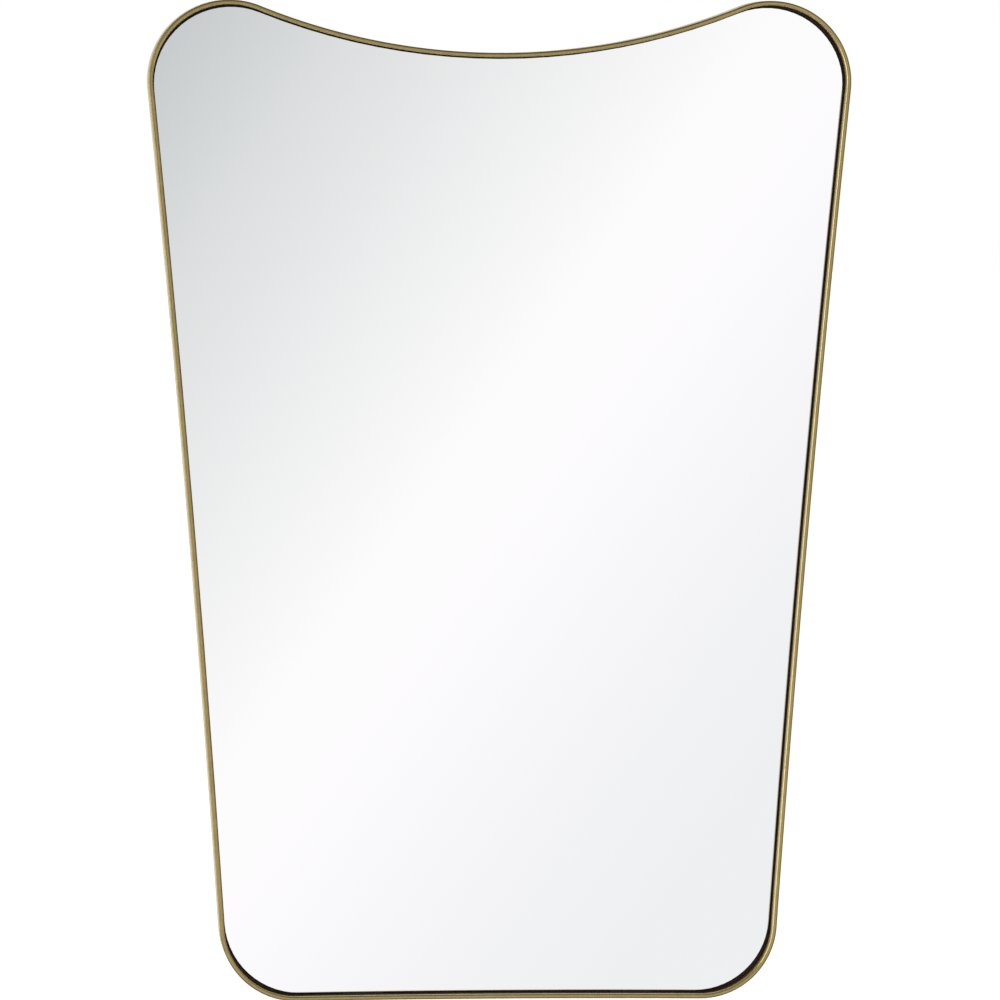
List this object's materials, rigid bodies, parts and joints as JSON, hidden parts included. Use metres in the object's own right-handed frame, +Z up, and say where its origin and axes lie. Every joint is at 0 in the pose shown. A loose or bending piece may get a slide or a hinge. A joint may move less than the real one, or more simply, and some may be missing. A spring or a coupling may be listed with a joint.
{
  "type": "wall mirror",
  "caption": "Wall mirror in a thin antique brass band, with a hollow top edge, round shoulders and sides that taper to a narrower rounded foot.",
  "frame": {"origin": "on the wall, midway between the two wall hooks", "axes": "+X across to the viewer's right, +Y into the wall, +Z up; the glass looks along -Y"},
  "size_m": [0.678, 0.0365, 0.9649],
  "materials": {
    "band": "satin",
    "glass": "polished",
    "tape": "matte",
    "board": "matte",
    "tabs": "satin",
    "screws": "satin",
    "straps": "satin",
    "rings": "satin",
    "blocks": "matte",
    "bumpers": "matte"
  },
  "bodies": {
    "mirror": {"frame_band": "band", "mirror_glass": "glass", "mounting_tape": "tape", "backing_board": "board", "tab_screws": "screws", "strap_screws": "screws", "tab_top_left": "tabs", "tab_top_right": "tabs", "tab_upper_left": "tabs", "tab_upper_right": "tabs", "tab_lower_left": "tabs", "tab_lower_right": "tabs", "tab_bottom_left": "tabs", "tab_bottom_right": "tabs", "bumper_top_left": "bumpers", "bumper_top_right": "bumpers", "bumper_bottom_left": "bumpers", "bumper_bottom_right": "bumpers", "block_left": "blocks", "block_right": "blocks", "strap_left": "straps", "strap_right": "straps"},
    "left_ring": {"ring_left": "rings"},
    "right_ring": {"ring_right": "rings"}
  },
  "joints": [
    {"name": "left_ring_swing", "type": "hinge", "parent": "mirror", "child": "left_ring", "pos_m": [-0.2032, -0.00355, -0.01375], "axis": [1, 0, 0], "range_deg": [0, 180]},
    {"name": "right_ring_swing", "type": "hinge", "parent": "mirror", "child": "right_ring", "pos_m": [0.2032, -0.00355, -0.01375], "axis": [1, 0, 0], "range_deg": [0, 180]}
  ]
}
